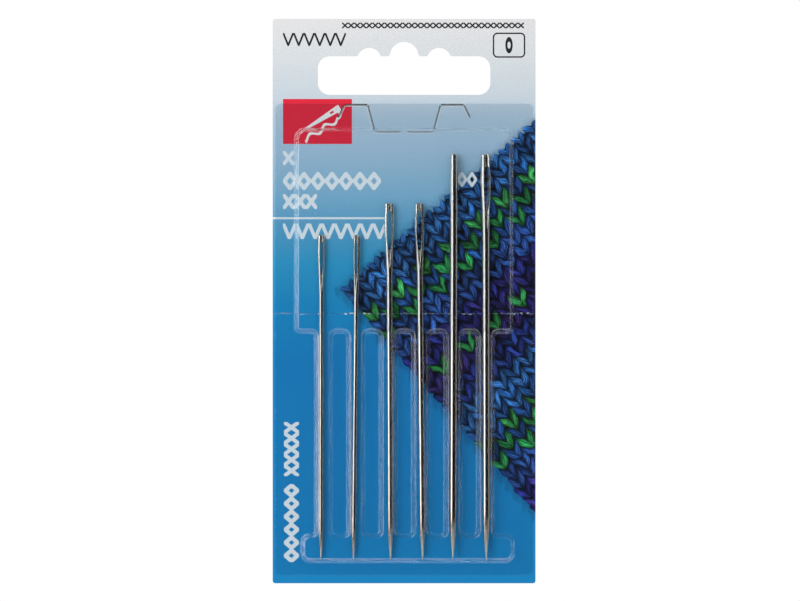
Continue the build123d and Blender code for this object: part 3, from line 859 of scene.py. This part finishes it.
# %% [markdown]
# ## The needles
# A darning needle starts as drawn wire. Its end is stamped flat between two dies, which press a
# gutter into both faces, and a punch opens the long eye along the gutters' floor. The other end is
# ground to a point. One surface gives all of that: rings up the needle, and in each ring four sheets
# (front and back, left and right) that start at the eye's edge, or at the middle where there is no
# eye, and meet at the needle's side. Half the thickness is the smaller of the round outline and the
# gutter's floor plus its sloping walls, blended softly. The eye's inner walls join front and back.

# %% Sizes of the needles
needle_sizes = {
    "small": dict(length=61.7, shaft=0.95, head_width=1.5, head_depth=0.92, eye_length=6.3, eye_width=0.6,
                  eye_drop=1.35, gutter_length=3.7, point_length=6.5),
    "medium": dict(length=67.7, shaft=1.27, head_width=1.96, head_depth=1.22, eye_length=7.5, eye_width=0.98,
                   eye_drop=1.5, gutter_length=4.0, point_length=8.0),
    "large": dict(length=77.0, shaft=1.5, head_width=2.15, head_depth=1.7, eye_length=8.4, eye_width=1.1,
                  eye_drop=2.3, gutter_length=4.8, point_length=9.5),
}
tip_height, tip_width, crown_share, gutter_lead_share = 0.16, 0.2, 0.32, 1.3


def eye_ends(size):
    """Heights of the eye's lower and upper end above the needle's tip: from the length down."""
    eye_top = size["length"] - size["eye_drop"]
    return eye_top - size["eye_length"], eye_top


def ring_heights(size):
    """Heights of the rings in mm above the tip, close together where the outline turns quickly. In
    the eye they follow (1 - cos) / 2, which crowds them at both of its ends."""
    eye_foot, eye_top = eye_ends(size)
    gutter_start = eye_foot - size["gutter_length"] * gutter_lead_share
    crown = size["head_depth"] * crown_share
    crown_foot = size["length"] - crown
    return np.concatenate([
        tip_height * (1 - np.cos(np.linspace(0, quarter_turn, 8)))[:-1],
        np.linspace(tip_height, size["point_length"], 26)[:-1],
        np.linspace(size["point_length"], gutter_start, 8)[:-1],
        np.linspace(gutter_start, eye_foot, 46)[:-1],
        eye_foot + size["eye_length"] * (1 - np.cos(np.linspace(0, math.pi, 61))) / 2,
        np.linspace(eye_top, crown_foot, 12)[1:],
        crown_foot + crown * np.sin(np.linspace(0, quarter_turn, 9))[1:]])


print("rings of the large needle:", len(ring_heights(needle_sizes["large"])))

# %% Outline of a needle
neck_share, shoulder_share, swell_share, top_share, bend_length = 1.15, 0.8, 0.62, 0.86, 1.4


def outline(size, heights):
    """Half width and half depth at each height. They run straight between stations, a running mean
    1.4 mm long rounds their bends, the tip closes on a round end, and the crown closes in depth by
    the root of 1 minus the square of the way up it."""
    eye_foot, _ = eye_ends(size)
    shaft, head, depth = size["shaft"], size["head_width"], size["head_depth"]
    neck = eye_foot - size["gutter_length"] * neck_share
    stations = [neck, eye_foot, eye_foot + size["eye_length"] * swell_share, size["length"] + 0.5]
    widths = [shaft, head * shoulder_share, head, head * top_share]
    depths = [shaft, (shaft + depth) / 2, depth, depth * top_share]
    fine = np.linspace(0, size["length"] + 2, 6000)
    mean_count = int(bend_length / fine[1])
    mean = np.ones(mean_count) / mean_count
    padding = mean_count // 2

    def rounded(values):
        straight = np.pad(np.interp(fine, stations, values), padding, mode="edge")
        return np.interp(heights, fine, np.convolve(straight, mean, mode="same")[padding:-padding])

    left = np.clip(1 - heights / size["point_length"], 0, 1)
    point = 1 - (1 - tip_width / shaft) * left ** 2
    tip = np.sqrt(1 - np.clip(1 - heights / tip_height, 0, 1) ** 2)
    crown = depth * crown_share
    up_crown = np.clip((heights - size["length"] + crown) / crown, 0, 1)
    closing = np.sqrt(np.clip(1 - up_crown ** 2, 0, 1))
    half_width = rounded(widths) / 2 * point * tip * (1 - 0.2 * (1 - closing))
    half_depth = rounded(depths) / 2 * point * tip * closing
    return half_width, half_depth


sample_width, sample_depth = outline(needle_sizes["large"], ring_heights(needle_sizes["large"]))
print("large head:", round(2 * sample_width.max(), 2), "by", round(2 * sample_depth.max(), 2), "mm")

# %% Sheets of a needle
across_steps = 14
gutter_angle = math.radians(50)
root_web_share, eye_web_share, top_web_share = 0.56, 0.15, 0.04
eye_rim_radius, blend, least_wall = 0.09, 0.05, 0.05
eye_lower_share, eye_upper_share = 0.42, 0.13


def needle_sheet(size, heights):
    """Across each ring: x from the eye's edge to the side, and half the thickness there. The eye's
    half width swells as a round-ended almond. The thickness is the softly blended smaller of the
    round outline, depth times the root of 1 - (x / width) squared, and the gutter, web plus x times
    the tangent of 50 degrees. A rim radius rounds the eye's edge."""
    half_width, half_depth = (values[:, None] for values in outline(size, heights))
    eye_foot, _ = eye_ends(size)
    gutter_foot = eye_foot - size["gutter_length"]
    up_eye = np.clip((heights - eye_foot) / size["eye_length"], 0, 1)
    lower_end = np.sqrt(1 - np.clip(1 - up_eye / eye_lower_share, 0, 1) ** 1.8)
    upper_end = np.sqrt(1 - np.clip(1 - (1 - up_eye) / eye_upper_share, 0, 1) ** 2)
    eye_half = (size["eye_width"] / 2 * lower_end * upper_end)[:, None]
    share = np.sin(quarter_turn * np.linspace(0, 1, across_steps + 1) ** 1.4)
    x = eye_half + (half_width - eye_half) * share
    ratio = np.divide(x, half_width, out=np.ones_like(x), where=half_width > 1e-9)
    body = half_depth * np.sqrt(np.clip(1 - ratio ** 2, 0, 1))
    depth = size["head_depth"]
    web = np.interp(
        heights, [gutter_foot, eye_foot, size["length"] + 1],
        [size["shaft"] * root_web_share, depth * eye_web_share, depth * top_web_share])
    web = np.where(heights < gutter_foot, size["shaft"], web)[:, None]
    gutter = web + x * math.tan(gutter_angle)
    soft = blend * np.minimum(1, half_depth / 0.3)
    thickness = (body + gutter - np.sqrt((body - gutter) ** 2 + soft ** 2)) / 2
    rim = np.minimum(eye_rim_radius, eye_half)
    past_rim = np.clip(x - eye_half, 0, rim)
    thickness -= rim - np.sqrt(np.clip(rim ** 2 - (rim - past_rim) ** 2, 0, None))
    thickness = np.maximum(thickness, np.minimum(0.3 * body, least_wall))
    thickness[:, -1] = 0
    return x, thickness, eye_half[:, 0]


sample_eye = needle_sheet(needle_sizes["large"], ring_heights(needle_sizes["large"]))[2]
print("large eye:", round(2 * sample_eye.max(), 2), "mm wide")

# %% Mesh of a needle
def needle_points(size):
    """All the sheets as grids of points across (x), through (y) and up (z), in mm."""
    heights = ring_heights(size)
    x, thickness, eye_half = needle_sheet(size, heights)
    z = np.broadcast_to(heights[:, None], x.shape)
    quarters = [(-1, -1), (-1, 1), (1, -1), (1, 1)]
    grids = [np.stack([sign_x * x, sign_y * thickness, z], axis=-1) for sign_x, sign_y in quarters]
    open_rows = np.flatnonzero(eye_half > 1e-5)
    eye_rows = np.arange(open_rows[0] - 1, open_rows[-1] + 2)
    through = np.linspace(-1, 1, 9)[None, :] * thickness[eye_rows, :1]
    eye_z = np.broadcast_to(heights[eye_rows, None], through.shape)
    eye_x = np.broadcast_to(eye_half[eye_rows, None], through.shape)
    return grids + [np.stack([sign_x * eye_x, through, eye_z], axis=-1) for sign_x in (-1, 1)]


def joined_mesh(name, grids):
    """One closed mesh of all the grids: points that lie together are merged, and the faces are then
    turned outwards."""
    firsts = np.cumsum([0] + [grid.shape[0] * grid.shape[1] for grid in grids])
    points = np.concatenate([grid.reshape(-1, 3) for grid in grids])
    faces = np.concatenate([grid_faces(first, *grid.shape[:2]) for first, grid in zip(firsts, grids)])
    mesh = bpy.data.meshes.new(name)
    mesh.from_pydata(points.tolist(), [], faces.tolist())
    joined = bmesh.new()
    joined.from_mesh(mesh)
    bmesh.ops.remove_doubles(joined, verts=joined.verts, dist=2e-5)
    bmesh.ops.recalc_face_normals(joined, faces=joined.faces)
    open_edges = sum(not edge.is_manifold for edge in joined.edges)
    joined.to_mesh(mesh)
    joined.free()
    print(name, len(mesh.polygons), "faces,", open_edges, "open edges")
    return mesh

# %% Place of a needle
def mesh_points(mesh):
    """A mesh's points as an array with a row for each."""
    flat = np.empty(len(mesh.vertices) * 3)
    mesh.vertices.foreach_get("co", flat)
    return flat.reshape(-1, 3)


def tip_of(node, axis):
    """Where a needle of the model has its tip, in mm: of the points that reach least far along its
    axis, half way between the least and the greatest in each direction."""
    points = mesh_points(frame["nodes"][node].data) / MM
    reach = points @ axis
    tip_points = points[reach < reach.min() + 0.001]
    return (tip_points.min(axis=0) + tip_points.max(axis=0)) / 2


def build_needle(body, turn):
    """Turns a needle's mesh to its own place: its axis is the way it slides, and its flat face is
    turned about that axis. A place is the tip's plus x, y and z times the three directions."""
    axis = np.array(joints[body + "_slide"]["axis"])
    axis = axis / np.linalg.norm(axis)
    backwards = np.array([0.0, 1.0, 0.0])
    facing = np.cross(backwards, axis) * math.cos(turn) + backwards * math.sin(turn)
    through = np.cross(axis, facing)
    node = "needle_" + body
    mesh = joined_mesh(node + "_swaged", needle_points(needle_sizes[body.split("_")[0]]))
    placed = tip_of(node, axis) + mesh_points(mesh) @ np.stack([facing, through, axis])
    mesh.vertices.foreach_set("co", (placed * MM).ravel())
    mesh.shade_smooth()
    needle = bpy.data.objects.new(mesh.name, mesh)
    scene.collection.objects.link(needle)
    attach(needle, body)
    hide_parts(node)
    return needle

# %% Six needles
needle_turns = {
    "small_left": 6, "small_right": -14, "medium_left": 3,
    "medium_right": -6, "large_left": 82, "large_right": 28}
needles = [build_needle(body, math.radians(turn)) for body, turn in needle_turns.items()]

# %% [markdown]
# ### Nickel-plated steel
# The needles are carbon steel with a bright nickel plating. Nickel is a slightly warm white metal.
# Drawing and polishing run along the needle, so the fine lines do too, and the plating keeps a few
# pits, which show as dark specks along it. A faint straw tint collects towards the point.

# %% Nickel-plated steel
steel_finish, tree = new_finish("nickel_plated_steel")
steel_mm = own_millimetres(tree)
along_wire = put(tree, "VectorMath", steel_mm, (14.0, 14.0, 0.12), operation="MULTIPLY")
drawn_lines = put(tree, "TexNoise", along_wire, Scale=1.0, Detail=4.0, Roughness=0.65)
pit_place = put(tree, "VectorMath", steel_mm, (1.0, 1.0, 0.8), operation="MULTIPLY")
pits = put(tree, "TexNoise", pit_place, Scale=4.2, Detail=2.0)
pitted = put(tree, "MapRange", pits, 0.66, 0.7, 0.0, 1.0)
height_on_card = put(tree, "SeparateXYZ", steel_mm).outputs["Z"]
towards_point = put(tree, "MapRange", height_on_card, -55.0, -98.0, 0.0, 0.45)
stain_cloud = put(tree, "TexNoise", steel_mm, Scale=0.35, Detail=3.0)
stain_tone = put(tree, "MapRange", stain_cloud, 0.3, 0.7, 0.4, 1.2)
stain = put(tree, "Math", towards_point, stain_tone, operation="MULTIPLY")
bright_metal = put(tree, "MixRGB", stain, paint("#E6E1D9"), paint("#CDB69C"))
pit_cover = put(tree, "Math", pitted, 0.6, operation="MULTIPLY")
steel_colour = put(tree, "MixRGB", pit_cover, bright_metal, paint("#3B3531"))
polish = put(tree, "MapRange", drawn_lines, 0.3, 0.7, 0.03, 0.08)
steel_roughness = put(tree, "Math", pitted, 0.25, polish, operation="MULTIPLY_ADD")
line_height = put(tree, "Math", pitted, -0.8, drawn_lines, operation="MULTIPLY_ADD")
steel_surface = put(tree, "Bump", Strength=0.08, Distance=0.004 * MM, Height=line_height)
steel = put(
    tree, "BsdfPrincipled", Base_Color=steel_colour, Metallic=1.0,
    Roughness=steel_roughness, Normal=steel_surface)
put(tree, "OutputMaterial", steel)
for needle in needles:
    needle.data.materials.append(steel_finish)
print("steel finish:", len(tree.nodes), "nodes")

# %% [markdown]
# ### Fibres in the cut, in painted shade
# A steel rule makes the tongue's cut, and it tears more than it slices: short fibres of board stay
# between the two edges. They lie in shade, and that shade is painted: here they are a ribbon
# narrower than the cut, a little below the printed face, coloured dark grey, so the cut reads as a
# dark line and not as a gap. It follows the cut's line, with each corner rounded.

# %% Fibres in the cut, a ribbon of painted shade
def rounded_line(corners, radius, steps=8):
    """Points along an open line with rounded corners. Each bend is a quadratic curve, (1 - s)
    squared times the point before, 2 s (1 - s) times the corner and s squared times the point
    after, and both points are the radius times the tangent of half the turn away."""
    corners = np.array(corners)
    headings = np.diff(corners, axis=0)
    headings /= np.linalg.norm(headings, axis=1, keepdims=True)
    turns = np.arccos(np.sum(headings[1:] * headings[:-1], axis=1))
    reach = (radius * np.tan(turns / 2))[:, None, None]
    s = np.linspace(0, 1, steps)[None, :, None]
    middle = corners[1:-1, None]
    before, after = middle - reach * headings[:-1, None], middle + reach * headings[1:, None]
    bends = (1 - s) ** 2 * before + 2 * s * (1 - s) * middle + s ** 2 * after
    return np.concatenate([corners[:1], bends.reshape(-1, 2), corners[-1:]])


ribbon_width, ribbon_thickness, ribbon_y = 0.12, 0.12, -0.13
half_line = rounded_line(cut_points, slit_bend_radius)
line_heading = np.gradient(half_line, axis=0)
line_heading /= np.linalg.norm(line_heading, axis=1, keepdims=True)
line_normal = np.stack([-line_heading[:, 1], line_heading[:, 0]], axis=1)
strip = half_line[:, None] + ribbon_width * np.linspace(-0.5, 0.5, 3)[None, :, None] * line_normal[:, None]
strip = np.stack([strip[..., 0], np.full(strip.shape[:2], ribbon_y), strip[..., 1]], axis=-1)
strip_faces = grid_faces(0, *strip.shape[:2])
ribbon_points = np.concatenate([strip.reshape(-1, 3), strip.reshape(-1, 3) * (-1, 1, 1)])
ribbon_faces = np.concatenate([strip_faces[:, ::-1], strip_faces + strip.shape[0] * strip.shape[1]])
slit_shade_ribbon = new_piece("slit_shade_ribbon", ribbon_points, ribbon_faces.tolist())
matted = slit_shade_ribbon.modifiers.new("matted", "SOLIDIFY")
matted.thickness = ribbon_thickness * MM
matted.offset = -1.0
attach(slit_shade_ribbon, "header")
print("ribbon normals along Y:", np.round([slit_shade_ribbon.data.polygons[k].normal[1] for k in (0, -1)], 2))

# %% Torn board fibres, dark as painted shade
slit_shade_finish, tree = new_finish("torn_fibres_in_painted_shade")
tufts = put(tree, "TexNoise", own_millimetres(tree), Scale=2.5, Detail=3.0)
# dark greys: painted shade in the cut, not the board's own off-white
shade_tuft_stops = [(0.35, "#20262B"), (0.6, "#3A4147"), (0.75, "#7E868B")]
painted_shade_tuft_colour = lay_colours(put(tree, "ValToRGB", tufts), shade_tuft_stops)
torn = put(tree, "BsdfPrincipled", Base_Color=painted_shade_tuft_colour, Roughness=0.9, Specular_IOR_Level=0.2)
put(tree, "OutputMaterial", torn)
slit_shade_ribbon.data.materials.append(slit_shade_finish)
print("torn fibres:", len(tree.nodes), "nodes")
